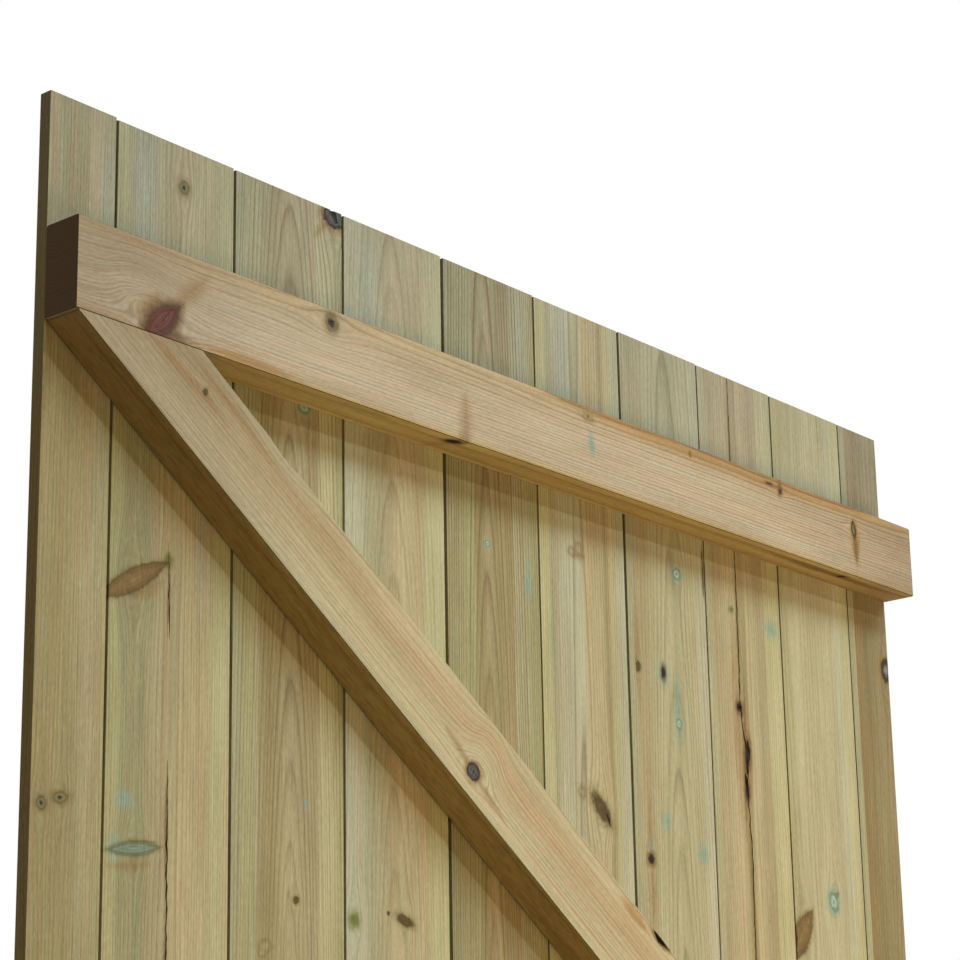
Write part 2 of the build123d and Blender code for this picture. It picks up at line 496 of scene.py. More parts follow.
def round_knots(tree, figure, straight, depth, grain):
    """Knots run through the timber at a tilt and push the grain aside. Gives each kind's distances."""
    tilt = add(tree, "VectorMath", {0: KNOT_TILT, "Scale": depth}, operation="SCALE")
    tilted = add(tree, "VectorMath", straight, tilt, operation="ADD")
    nearest = {}
    for kind, knots in figure["knots"].items():
        for knot in knots:
            across, along, _, _, _, *buried = knot
            middle = (across, buried[0] if buried else 0, along)
            offset = add(tree, "VectorMath", tilted, middle, operation="SUBTRACT")
            distance = knot_distance(tree, offset, knot, kind in LEAF_KNOTS)
            if kind not in SOFT_KNOTS and not buried:
                grain = add(tree, "VectorMath", grain, push_aside(tree, offset, knot), operation="ADD")
            if kind in nearest:
                distance = add(tree, "Math", nearest[kind], distance, operation="MINIMUM")
            nearest[kind] = distance
    return grain, nearest


print("bent grain ready")

# %% [markdown]
# The recipe puts the layers together. Some layers depend on which way the surface faces:
# sawn ends drink the treatment and go dark, and faces that look down get painted shade.

# %% The pine recipe
def facing_share(tree, way, both_ways, low, high):
    """How far the surface faces one way: 0 below the low limit, 1 above the high one."""
    normal = add(tree, "TexCoord").outputs["Normal"]
    facing = add(tree, "VectorMath", normal, way, operation="DOT_PRODUCT").outputs["Value"]
    if both_ways:
        facing = add(tree, "Math", facing, operation="ABSOLUTE")
    return add(tree, "MapRange", {"Value": facing, "From Min": low, "From Max": high})


def pine(name, figure):
    material = bpy.data.materials.new(name)
    tree = empty_tree(material)
    seed = figure["seed"]
    straight = timber_point(tree, figure)
    depth = add(tree, "SeparateXYZ", straight).outputs["Y"]
    rough = stretched_noise(tree, straight, *RAGGED_MM, seed)
    ragged = add(tree, "Math", rough, RAGGED, -RAGGED / 2, operation="MULTIPLY_ADD")
    grain, nearest = round_knots(tree, figure, straight, depth, along_grain(tree, figure, straight))
    rings = ring_lines(tree, grain, figure)

    # Bands of sapwood and heartwood across the face
    half = figure["half_width"]
    parts = add(tree, "SeparateXYZ", grain)
    share = add(tree, "Math", parts.outputs["X"], 0.5 / half, 0.5, operation="MULTIPLY_ADD")
    bands = add(tree, "ValToRGB", {"Fac": share})
    set_stops(bands, [((across / half + 1) / 2, linear(tone)) for across, tone in figure["bands"]])

    # Duller wood near the ends, then streaks and slow clouds
    first, last = figure["ends"]
    half_length = abs(last - first) / 2
    from_middle = add(tree, "Math", parts.outputs["Z"], (first + last) / 2, operation="SUBTRACT")
    outward = add(tree, "Math", from_middle, operation="ABSOLUTE")
    soak = add(tree, "MapRange", {"Value": outward, "From Min": half_length - figure["soak_reach"],
            "From Max": half_length, "To Min": 0.0, "To Max": figure["soak"]},
            interpolation_type="SMOOTHSTEP")
    streak = stretched_noise(tree, grain, *STREAK_MM, seed + 3)
    streak_share = add(tree, "MapRange", {"Value": streak, "From Min": STREAK_EDGES[0],
            "From Max": STREAK_EDGES[1]})
    streak_tone = layered(tree, linear(WARM_STREAK), (streak_share, linear(GREEN_STREAK)))
    cloud = stretched_noise(tree, grain, *CLOUD_MM, seed + 5)
    clouded = layered(tree, bands, (soak, linear(figure["soak_tone"])),
            (figure["streaks"], streak_tone, "MULTIPLY"), (CLOUD_SHARE, cloud, "SOFT_LIGHT"))

    # Soft stains lie under the latewood lines and hard knots over them, with fibres and flecks on top
    here = [kind for kind in KNOT_KINDS if kind in nearest]
    stained = lay_knots(tree, clouded, [kind for kind in here if kind in SOFT_KNOTS], nearest, ragged)
    strong = add(tree, "MapRange", {"Value": parts.outputs["Z"], "From Min": first, "From Max": last,
            "To Min": figure["contrast"], "To Max": figure["far_contrast"]})
    strength = add(tree, "Math", rings, strong, operation="MULTIPLY")
    ringed = layered(tree, stained, (strength, linear(figure["latewood"])))
    knotted = lay_knots(tree, ringed, [kind for kind in here if kind not in SOFT_KNOTS], nearest, ragged)
    fibre = stretched_noise(tree, grain, *FIBRE_MM, seed + 7, detail=3)
    speck = stretched_noise(tree, grain, *SPECK_MM, seed + 9)

    # Painted shade: faces that look down get a darker tint and a patchy dark smear, and faces that hide in
    # joints, cracks and pockets get a dark tone
    under = facing_share(tree, figure["down_way"], False, *UNDER_FACING)
    smear = stretched_noise(tree, straight, *SMEAR_MM, seed + 13, detail=4)
    grime = add(tree, "MapRange", {"Value": smear, "From Min": SMEAR_EDGES[0], "From Max": SMEAR_EDGES[1],
            "To Max": figure["grime"]})
    smeared = add(tree, "Math", under, grime, operation="MULTIPLY")
    recess_shade = add(tree, "Math", hidden_faces(tree, straight, figure), RECESS_SHADE_SHARE, operation="MULTIPLY")
    dirty = layered(tree, knotted, (FIBRE_SHARE, fibre, "SOFT_LIGHT"), (SPECK_SHARE, speck, "SOFT_LIGHT"),
            (under, linear(figure["under_tone"]), "MULTIPLY"), (smeared, linear(SMEAR)),
            (recess_shade, linear(RECESS_SHADE)))

    # Sawn ends, where the surface faces along the grain
    sawn = facing_share(tree, figure["grain_way"], True, *SAWN_FACING)
    end_rings = layered(tree, linear(END_GRAIN), (rings, linear(END_RINGS)))
    colour = layered(tree, dirty, (sawn, end_rings))

    # Fine relief along the grain
    relief = add(tree, "Math", rings, RELIEF_OF_RINGS, fibre, operation="MULTIPLY_ADD")
    bump = add(tree, "Bump", {"Height": relief, "Strength": RELIEF_STRENGTH, "Distance": RELIEF})
    dryness = add(tree, "MapRange", {"Value": fibre, "To Min": ROUGHNESS[0], "To Max": ROUGHNESS[1]})
    surface = add(tree, "BsdfPrincipled", {"Base Color": colour, "Roughness": dryness,
            "Specular IOR Level": SPECULAR, "Normal": bump})
    add(tree, "OutputMaterial", {"Surface": surface})
    return material


print("pine recipe ready")

# %% [markdown]
# Each board came from another stem, so each has its own figure. Places are millimetres
# from the board's middle line and down from the gate's top, read off the real boards.
# Only the top half of the gate could be seen, so the knots further down are made up, a
# few for each board from a fixed seed.

# %% Figures of the boards
FULL_HALF = 60
TONGUE = 6.5 * MM
JOINT_MARGIN = 8
UNSEEN_FROM = 760
UNSEEN_TO = 1760
UNSEEN_KNOTS = 3
UNSEEN_KINDS = ("eye", "olive", "pit", "pearl")
UNSEEN_SIZES = (3, 7)
UNSEEN_STRETCH = 1.6
UNSEEN_LEAN = 30
UNSEEN_MARGIN = 12
SEED_STEP = 11.3


def face_middle(node):
    """The middle of a board's face, which leaves out the tongue on its right edge."""
    low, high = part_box(node)
    tongue = TONGUE if high.x < hanging_edge - TONGUE else 0
    return (low.x + high.x - tongue) / 2


def plain_figure(**settings):
    """What a piece of timber looks like unless its own figure says otherwise."""
    # A white underside tint means no painted shade on faces that look down
    figure = dict(wander=GRAIN_WANDER_MM, pith_slope=(0.0, 0), contrast=0.5, soak_reach=260,
            under_tone="#ffffff", knots={}, bows=[])
    figure.update(settings)
    return figure


def board_figure(node, **settings):
    number = int(node[-2:])
    figure = plain_figure(origin=(-face_middle(node) / MM, -board_back / MM, -gate_top / MM), turn=0.0,
            ends=(0, -(gate_top - gate_foot) / MM), grain_way=(0, 0, 1), down_way=(0, 0, 0), grime=0.0,
            soak=0.4, soak_tone=BOARD_END_TONE, seed=SEED_STEP * number, arch=24, pith=(0, 40), ring=3.0,
            far_contrast=0.5, latewood="#6f5c38", streaks=0.7, half_width=FULL_HALF)
    figure.update(settings)
    figure["core_half"] = figure["half_width"] - JOINT_MARGIN
    chance = random.Random(number)
    reach = figure["half_width"] - UNSEEN_MARGIN
    for _ in range(UNSEEN_KNOTS):
        kind = chance.choice(UNSEEN_KINDS)
        size = chance.uniform(*UNSEEN_SIZES)
        across = chance.uniform(-reach, reach)
        along = -chance.uniform(UNSEEN_FROM, UNSEEN_TO)
        height = size * chance.uniform(1, UNSEEN_STRETCH)
        lean = chance.uniform(-UNSEEN_LEAN, UNSEEN_LEAN)
        figure["knots"].setdefault(kind, []).append((across, along, size, height, lean))
    return figure


board_figures = {
    "board_01": dict(pith=(-52, 30), ring=2.6, half_width=35, contrast=0.55,
        bands=[(-30, HEART_BROWN), (-2, HEART_BROWN), (17, HEART_TAN), (37, SAP_GREEN)],
        knots={"eye": [(-22, -515, 4.6, 4.6, 0), (-5.5, -509, 6.5, 4, 12)],
            "flame": [(-4, -507, 14, 5, 0)], "grey": [(24, -60, 10, 50, 0)]}),
    "board_02": dict(pith=(0, 16), ring=2.3, arch=14, contrast=0.6,
        bands=[(-57, SAP_GREEN), (-47, SAP_GREEN), (-45, OLIVE), (-27, OLIVE), (-15, HEART_TAN),
            (1, HEART_TAN), (9, HEART_LIGHT), (40, HEART_LIGHT), (42, SAP_LIGHT)],
        knots={"eye": [(7, -34, 5, 5.5, 0)], "spike": [(-36, -346, 39, 8.8, 30)],
            "moss": [(-3, -326, 4.5, 6, 0)], "blue spike": [(-31, -536, 26, 5.6, 8)],
            "stain": [(-41, -503, 8, 7, 0), (-49, -537, 7, 9, 0)], "grey": [(-32, -45, 22, 80, 0),
            (30, -300, 10, 90, 0)], "streak": [(-2, -355, 34, 3, 88), (-1.5, -520, 60, 3.5, 90),
            (-1, -640, 110, 3, 90), (-24, -530.5, 19, 1.8, 5)], "flame": [(-22, -350, 24, 12, 30),
            (-34, -548, 25, 8, 8)]}),
    "board_03": dict(pith=(2, 14), pith_slope=(-0.05, -540), arch=9, ring=2.8, contrast=0.85, streaks=0.5,
        bands=[(-57, GREY_GREEN), (-39, SAP_GREEN), (-33, GREY_GREEN), (-31, HEART_BROWN),
            (-17, HEART_BROWN), (-5, HEART_TAN), (31, HEART_TAN), (33, SAP_LIGHT), (45, SAP_LIGHT),
            (53, SAP_GREEN)],
        knots={"slate": [(50, -7, 13, 10, 0)], "olive": [(8, -556, 3.4, 3.4, 0)],
            "faint": [(-24, -592, 8, 6, 0), (-27, -597, 5, 4, 0)], "pearl": [(16, -176, 7, 5, 0)],
            "stain": [(18, -484, 3.5, 4, 0)], "flame": [(36, -20, 20, 7, 50)]}),
    "board_04": dict(pith=(-3, 24), pith_slope=(-0.05, -520), arch=10, ring=3.0, contrast=0.42,
        streaks=0.5,
        bands=[(-57, GREY_LIGHT), (-43, GREY_LIGHT), (-31, GREY_GREEN), (-9, HEART_TAN), (3, HEART_LIGHT),
            (34, HEART_LIGHT), (36, SAP_LIGHT), (61, SAP_LIGHT)],
        knots={"olive": [(7, -560, 11, 4.8, -15), (-12, -556, 1.8, 1.8, 0)],
            "moss": [(-50, -565, 6.5, 7, 0)], "grey": [(-30, -50, 20, 60, 0)]}),
    "board_05": dict(pith=(-9, 22), pith_slope=(-0.03, -400), arch=12, ring=2.6, contrast=1.1,
        bands=[(-57, OLIVE), (-25, SAP_GREEN), (-23, HEART_BROWN), (-15, HEART_BROWN), (-7, HEART_TAN),
            (3, HEART_BROWN), (25, HEART_BROWN), (27, SAP_YELLOW), (37, GREY_GREEN), (55, SAP_GREEN)],
        knots={"pearl": [(-8, -240, 2.8, 3.2, 0)], "stain": [(44, -262, 5, 16, 0)],
            "grey": [(40, -50, 12, 60, 0)]}),
    "board_06": dict(pith=(-5, 22), ring=2.4, arch=14, contrast=0.7, soak=0.2,
        bands=[(-57, SAP_LIGHT), (-45, SAP_LIGHT), (-43, GREY_GREEN), (-31, GREY_LIGHT),
            (-25, GREY_LIGHT), (-5, GREY_LIGHT), (7, HEART_LIGHT), (27, HEART_LIGHT), (31, HEART_BROWN),
            (34, HEART_TAN), (38, SAP_LIGHT), (48, GREY_LIGHT)],
        knots={"faint": [(-5, -220, 7, 7, 10), (-15, -224, 6, 5, 0), (-10, -432, 5.5, 6.5, 0)],
            "olive": [(16, -443, 19, 8.5, -45)], "grey": [(-24, -50, 26, 90, 0)],
            "flame": [(-5, -226, 12, 8, 0)]}),
    "board_07": dict(pith=(7, 34), pith_slope=(-0.03, -330), arch=12, ring=3.0, contrast=0.8,
        streaks=0.45, latewood="#78704a",
        bands=[(-57, GREY_GREEN), (-41, HEART_TAN), (-31, HEART_TAN), (-25, SAP_YELLOW), (5, SAP_YELLOW),
            (13, GREY_GREEN), (23, SAP_YELLOW), (39, SAP_YELLOW), (48, GREY_LIGHT)],
        knots={"olive": [(-46, -310, 4, 5, 0)], "pit": [(-9.5, -309.5, 3, 5.4, 0),
            (-37, -478, 4.2, 4.6, 0)], "pearl": [(16, -214.5, 6.5, 6, 0), (11, -353, 4.5, 5, 0)],
            "stain": [(-9.5, -310, 9, 11, 0), (10, -338, 5, 28, 0), (-12, -442, 7, 9, 0),
            (40, -465, 8, 9, 0), (-37, -466, 4, 8, 0)], "streak": [(57, -206, 34, 4, 90)],
            "flame": [(-46, -300, 70, 6, 91), (-37, -452, 46, 6, 90), (-36, -510, 40, 5, 90)]}),
    "board_08": dict(pith=(-6, 14), ring=2.9, arch=14, contrast=0.7, streaks=0.45, latewood="#776b46",
        bands=[(-57, SAP_YELLOW), (-50, SAP_YELLOW), (-47, HEART_TAN), (-17, HEART_LIGHT),
            (-9, HEART_BROWN), (0, HEART_BROWN), (3, HEART_LIGHT), (13, HEART_LIGHT), (21, HEART_TAN),
            (33, HEART_TAN), (35, SAP_LIGHT)],
        knots={"pit": [(-14, -323, 4.2, 4.6, 0), (-4, -366, 4, 11, -8), (-7, -400, 3.2, 8, 0)],
            "moss": [(-20, -232, 4, 3.4, 0)], "stain": [(44, -240, 11, 9, 0)],
            "gold": [(-7, -376, 62, 5, 88)], "streak": [(-11, -90, 100, 3.5, 90), (-11, -250, 80, 4, 90),
            (-8, -370, 100, 6, 87), (-5, -520, 120, 4, 90), (-5, -720, 160, 3.5, 90)],
            "flame": [(-18, -330, 130, 12, 90), (-13, -328, 16, 12, 0), (-3, -374, 44, 13, 90),
            (-7, -450, 60, 7, 90)]}),
    "board_09": dict(pith=(-37, 40), pith_slope=(0.01, -400), arch=12, ring=3.0, contrast=0.5,
        streaks=0.35, soak=0.2, latewood="#7b7450",
        bands=[(-57, SAP_GREEN), (-41, SAP_YELLOW), (-31, SAP_YELLOW), (27, SAP_YELLOW), (35, GREY_LIGHT),
            (51, SAP_LIGHT), (61, SAP_YELLOW)],
        knots={"pearl": [(7, -487.5, 8, 9.5, 20)], "spike": [(-50, -524, 33, 13, 52)],
            "olive": [(11, -482, 6, 3, 40)], "moss": [(-40, -506, 4, 3, 52)],
            "stain": [(7, -487, 11, 12, 0)]}),
    "board_10": dict(pith=(40, 40), pith_slope=(-0.02, -300), arch=12, ring=3.0, half_width=36,
        contrast=0.6,
        bands=[(-34, GREY_GREEN), (-25, GREY_GREEN), (-24, HEART_DEEP), (-8, HEART_DEEP),
            (12, HEART_DARK)],
        knots={"hollow": [(30, -246, 10, 13, 0)], "flame": [(22, -246, 16, 22, 90)]}),
}
for node, settings in board_figures.items():
    board_figures[node] = board_figure(node, **settings)
print("figured boards:", len(board_figures))

# %% [markdown]
# The ledges and braces are heavier planed stock, mostly heartwood, so they are warmer
# than the boards. Their grain runs along the piece: the pattern is turned until its third
# axis does too, and starts at the end by the closing edge.

# %% Figures of the ledges and braces
RAIL_HALF = 35
ARRIS_MARGIN = 2
BRACE_WIDTH = 70 * MM


def along_piece(slope, start, across_middle):
    """Origin and turn of a pattern whose grain runs down a slope to the right."""
    turn = -(math.pi / 2 + slope)
    base = Vector((-start.x * math.sin(slope) - start.z * math.cos(slope),
            start.x * math.cos(slope) - start.z * math.sin(slope)))
    return {"turn": turn, "origin": (-base.x / MM + across_middle, 0, -base.y / MM),
            "grain_way": (math.cos(slope), 0, -math.sin(slope)),
            "down_way": (-math.sin(slope), 0, -math.cos(slope))}


def rail_figure(length, slope, start, across_middle, **settings):
    """What a ledge and a brace have in common."""
    # The smear on the faces of a ledge or brace that look down is painted shade
    figure = plain_figure(start=start, start_across=across_middle, ends=(0, length / MM), arch=18,
            far_contrast=0.6, streaks=0.6, latewood="#7c5934", half_width=RAIL_HALF,
            core_half=RAIL_HALF - ARRIS_MARGIN, soak=0.5, soak_tone=RAIL_END_TONE, grime=0.15)
    figure.update(along_piece(slope, start, across_middle))
    figure.update(settings)
    return figure


def ledge_figure(node, **settings):
    low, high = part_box(node)
    start = Vector((low.x, 0, (low.z + high.z) / 2))
    look = dict(seed=5.7 + low.z, pith=(-38, 20), ring=2.4, bands=[
        (-34, RAIL_TAN), (-20, RAIL_PINK), (0, RAIL_PALE), (22, RAIL_PALE), (31, RAIL_PINK),
        (34, RAIL_EDGE)])
    look.update(settings)
    return rail_figure(high.x - low.x, 0.0, start, 0, **look)


def brace_figure(above, below, **settings):
    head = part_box(above)[0].z
    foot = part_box(below)[1].z
    width = hanging_edge - closing_edge
    length = math.hypot(width, head - foot)
    slope = math.atan2(head - foot, width) + math.asin(BRACE_WIDTH / length)
    # The brace's faces that look down get a darker tint and more smear, as painted shade
    look = dict(seed=9.1 + head, pith=(-48, 26), ring=3.6, arch=24, soak=0.54, soak_reach=430,
            under_tone="#e9d5a8", grime=0.35, bands=[(-34, RAIL_STRAW), (-16, RAIL_TAN), (0, RAIL_TAN),
            (16, RAIL_STRAW), (34, RAIL_STRAW)])
    look.update(settings)
    return rail_figure(length, slope, Vector((closing_edge, 0, head)), RAIL_HALF, **look)


rail_figures = {
    "top_ledge": ledge_figure("top_ledge", contrast=0.45, far_contrast=1.0, ring=2.6,
        knots={"red": [(23, 80, 23, 10, -48)], "flame": [(-6, 107, 34, 13, -48), (14, 66, 24, 12, -48),
            (20, 412, 36, 14, 0), (4, 992, 32, 9, 0), (-26, 862, 14, 10, 0), (38, 300, 60, 5, 90, 5, 4)],
            "gold": [(-31, 800, 380, 16, 90), (-6, 991, 32, 14, 0), (31, 165, 70, 6, 90)],
            "dark eye": [(-23.5, 255, 8.5, 7.5, 0)], "faint": [(-25, 573, 5, 9, 0)],
            "moss": [(-26, 573, 2, 2.4, 0)], "grey": [(-1, 577, 17, 8, 8)],
            "bark": [(-27, 846, 1.6, 6.5, 0), (-23.5, 864, 3.8, 3.2, 0)],
            "slit": [(-12, 989, 9.5, 4.2, 8)], "pit": [(37, 408, 9, 7, 0, 7, 4),
            (38, 984, 6, 5, 0, 10, 3)], "streak": [(-28, 864, 10, 5, 0), (6, 991, 20, 8, 2),
            (-26, 721, 6, 4, 0), (24, 70, 24, 12, -48), (33, 96, 9, 26, 0), (35, 965, 150, 30, 90, 12, 6),
            (35, 940, 40, 30, 90, 13, 7)], "stain": [(-2, 577, 10, 4, 8)]},
        bows=[(2, 58, 24, 26, 9)]),
    "middle_ledge": ledge_figure("middle_ledge",
        knots={"eye": [(8, 310, 7, 9, 0)], "olive": [(-14, 760, 6, 5, 0)]}),
    "bottom_ledge": ledge_figure("bottom_ledge",
        knots={"eye": [(-6, 520, 8, 7, 0)], "pit": [(18, 905, 4, 6, 0)]}),
    "upper_brace": brace_figure("top_ledge", "middle_ledge",
        knots={"slate": [(15, 493, 7, 7.5, 0)], "flame": [(11, 470, 34, 6, 82), (19, 518, 34, 6, 84),
            (15, 493, 15, 12, 90), (-6, 90, 80, 8, 92), (-22, 150, 90, 8, 88), (-11, 118, 9, 7, 0)],
            "olive": [(-11, 118, 3.2, 2.8, 0)], "pit": [(-33, 749, 3.5, 9, 0)],
            "gold": [(-27, 712, 30, 8, 90)]},
        bows=[(-10, 498, 24, 20, 13), (-36, 205, 16, 30, -7)]),
    "lower_brace": brace_figure("middle_ledge", "bottom_ledge",
        knots={"slate": [(4, 610, 7, 8, 0)], "flame": [(4, 585, 30, 4, 90)], "eye": [(-16, 250, 6, 8, 0)]}),
}
print("figured rails:", ", ".join(rail_figures))

# %% Give every node its pine
for node, figure in {**board_figures, **rail_figures}.items():
    piece = frame["nodes"][node]
    piece.data.materials.clear()
    piece.data.materials.append(pine("pine_" + node, figure))
print("materials:", len(bpy.data.materials))

# %% [markdown]
# Drying opens real cracks, and planing tears small pockets out at the knots. Painted
# lines would stay flat, so these are cut. A cutter is a closed mesh that follows a line:
# a wedge for a crack, an uneven tube for a pocket or for bark left on an edge. Both are
# ragged, from a fixed seed.

# %% Cutters for cracks and pockets
CRACK_STEP = 5 * MM
ABOVE_FACE = 1 * MM
POCKET_SIDES = 7
SEEDS_PER_PIECE = 10
OFF_FACE = 0.3
CRACK_WIDTHS = (0.65, 1.35)
CRACK_SWAY = 0.3
CRACK_DEPTHS = (0.7, 1.0)
POCKET_WIDTHS = (0.75, 1.25)


def stations(line):
    """Points every few millimetres along a line of (x, z, size), with the size carried along."""
    places = []
    for (x0, z0, size0), (x1, z1, size1) in zip(line, line[1:]):
        steps = max(1, round(math.hypot(x1 - x0, z1 - z0) / CRACK_STEP))
        for step in range(steps):
            share = step / steps
            places.append((x0 + (x1 - x0) * share, z0 + (z1 - z0) * share, size0 + (size1 - size0) * share))
    return places + [line[-1]]


def closed_rings(name, rings):
    """A closed mesh through rings of points, capped at both ends."""
    form = bmesh.new()
    loops = [[form.verts.new(point) for point in ring] for ring in rings]
    for here, there in zip(loops, loops[1:]):
        for index in range(len(here)):
            following = (index + 1) % len(here)
            form.faces.new((here[index], here[following], there[following], there[index]))
    form.faces.new(loops[0])
    form.faces.new(loops[-1])
    bmesh.ops.recalc_face_normals(form, faces=form.faces)
    return as_mesh(form, name)


def crack(name, line, face, depth, seed):
    """A ragged wedge: the line's points are x, z and width in metres."""
    chance = random.Random(seed)
    rings = []
    way = (Vector(line[-1][:2]) - Vector(line[0][:2])).normalized()
    for x, z, width in stations(line):
        width *= chance.uniform(*CRACK_WIDTHS)
        middle = Vector((x, z)) + Vector((way.y, -way.x)) * chance.uniform(-CRACK_SWAY, CRACK_SWAY) * width
        side = Vector((way.y, -way.x)) * width / 2
        rings.append([
            (middle.x - side.x, face - ABOVE_FACE, middle.y - side.y),
            (middle.x + side.x, face - ABOVE_FACE, middle.y + side.y),
            (middle.x, face + depth * chance.uniform(*CRACK_DEPTHS), middle.y),
        ])
    return closed_rings(name, rings)


def pocket(name, line, level, flatness, seed):
    """An uneven tube round a line of x, z and radius, centred at one y level."""
    chance = random.Random(seed)
    way = (Vector(line[-1][:2]) - Vector(line[0][:2])).normalized()
    rings = []
    for x, z, radius in stations(line):
        ring = []
        for side in range(POCKET_SIDES):
            turn = 2 * math.pi * (side + OFF_FACE) / POCKET_SIDES
            reach = radius * chance.uniform(*POCKET_WIDTHS)
            out = math.cos(turn) * reach
            ring.append((x + way.y * out, level + math.sin(turn) * reach * flatness, z - way.x * out))
        rings.append(ring)
    return closed_rings(name, rings)


def cutters_on(to_metres, node, face, cracks, pockets, first_crack, first_pocket):
    """Cutters for the cracks and pockets of one piece. The last two values are random seeds."""
    cutters = []
    for index, (line, depth) in enumerate(cracks):
        cutters.append(crack("crack", to_metres(node, line), face, depth * MM, first_crack + index))
    for index, (line, flatness) in enumerate(pockets):
        cutters.append(pocket("pocket", to_metres(node, line), face, flatness, first_pocket + index))
    return cutters


print("cutters ready")

# %% [markdown]
# The places of the cracks are read off the boards in the same way as the knots: across
# from the board's middle, down from the gate's top, and the width there.

# %% Where the boards have opened
BOARD_CRACKS = {
    "board_02": [
        ([(-3, 312, 0.3), (-2.4, 335, 1.2), (-1.2, 372, 1.5), (-1.0, 384, 0.4)], 2.0),
        ([(-1, 470, 0.4), (-0.6, 490, 1.5), (0, 560, 2.0), (0, 640, 1.7), (1, 760, 0.9),
            (1, 800, 0.3)], 2.8),
    ],
    "board_07": [
        ([(56.2, 178, 0.4), (56.0, 190, 2.0), (56.6, 203, 0.5)], 2.4),
        ([(56.0, 200, 0.4), (56.2, 214, 2.1), (56.7, 229, 0.4)], 2.4),
        ([(-48.5, 288, 0.3), (-49, 304, 1.4), (-48.5, 326, 0.3)], 1.2),
        ([(-12, 306, 0.4), (-12.3, 312, 1.6), (-12, 319, 0.4)], 1.4),
        ([(14.6, 211, 0.3), (15, 214, 1.2), (15, 218, 0.3)], 1.0),
    ],
    "board_08": [
        ([(-10, -2, 1.2), (-10.4, 100, 1.3), (-10.6, 185, 1.5), (-11, 254, 1.6), (-12.5, 318, 2.2),
            (-9, 345, 2.4), (-4, 366, 3.0), (-6, 400, 2.8), (-4, 440, 2.0), (-3.5, 470, 1.9),
            (-5.5, 554, 1.6), (-5, 700, 1.4), (-4, 860, 1.0), (-4, 980, 0.4)], 3.6),
    ],
    "board_05": [([(-8, 900, 0.3), (-7, 990, 1.1), (-8, 1110, 0.3)], 1.6)],
    "board_09": [([(22, -2, 0.8), (22.5, 30, 0.7), (22, 62, 0.3)], 2.0)],
}
BOARD_POCKETS = {
    "board_03": [([(46, 2, 2.5), (50, 6, 3.5), (53, 12, 1.5)], 0.5)],
    "board_08": [
        ([(-17, 322, 1.2), (-14, 323, 2.6), (-10, 322, 1.2)], 0.9),
        ([(-4, 352, 1.0), (-2, 362, 2.8), (-5, 372, 2.4), (-6, 384, 1.0)], 0.8),
        ([(-9, 384, 1.0), (-8, 391, 2.3), (-6, 399, 0.8)], 0.8),
    ],
    "board_06": [([(22, 446, 0.7), (26, 452, 1.8), (27, 457, 0.7)], 0.6)],
    "board_09": [([(-59.5, 536, 0.6), (-59, 527, 1.6), (-59.5, 519, 0.6)], 0.7)],
}
print("boards with cracks or pockets:", len(set(BOARD_CRACKS) | set(BOARD_POCKETS)))

# %% [markdown]
# The boards are screwed on from the front: two screws where a board crosses a ledge, one
# high and one low so that they do not split it, and one where it crosses a brace. The
# heads sit just under the surface. Geometry Nodes place every head from a list of points,
# and the same tree, a little larger and without the cross, gives the countersinks.

# %% Screw places
SCREW_SPREAD = 34 * MM
NARROW_SPREAD = 16 * MM
SCREW_STAGGER = 16 * MM
HEAD_SUNK = 0.35 * MM

LEDGES = ("top_ledge", "middle_ledge", "bottom_ledge")
BRACES = ("upper_brace", "lower_brace")

ledge_middles = [(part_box(ledge)[0].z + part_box(ledge)[1].z) / 2 for ledge in LEDGES]
brace_lines = []
for brace, above, below in zip(BRACES, LEDGES, LEDGES[1:]):
    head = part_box(above)[0].z
    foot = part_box(below)[1].z
    fall = rail_figures[brace]["grain_way"][2] / rail_figures[brace]["grain_way"][0]
    brace_lines.append((head, foot, fall))

screw_places = {}
for node in board_figures:
    middle = face_middle(node)
    narrow = board_figures[node]["half_width"] < FULL_HALF
    spread = NARROW_SPREAD if narrow else SCREW_SPREAD
    places = []
    for ledge_middle in ledge_middles:
        places.append((middle - spread, board_front - HEAD_SUNK, ledge_middle + SCREW_STAGGER))
        places.append((middle + spread, board_front - HEAD_SUNK, ledge_middle - SCREW_STAGGER))
    for head, foot, fall in brace_lines:
        height = head + fall * (middle - closing_edge) + BRACE_WIDTH / 2 * math.hypot(1, fall)
        if foot + SCREW_STAGGER < height < head - SCREW_STAGGER:
            places.append((middle, board_front - HEAD_SUNK, height))
    screw_places[node] = places
print("screws:", sum(len(places) for places in screw_places.values()))

# %% The screw tree
HEAD_RADIUS = 4.0 * MM
HEAD_DEPTH = 2.6 * MM
NECK_SHARE = 0.45
CROSS_LENGTH = 4.4 * MM
CROSS_WIDTH = 0.9 * MM
CROSS_DEPTH = 1.5 * MM
HEAD_SIDES = 20
TURN_SEED = 7


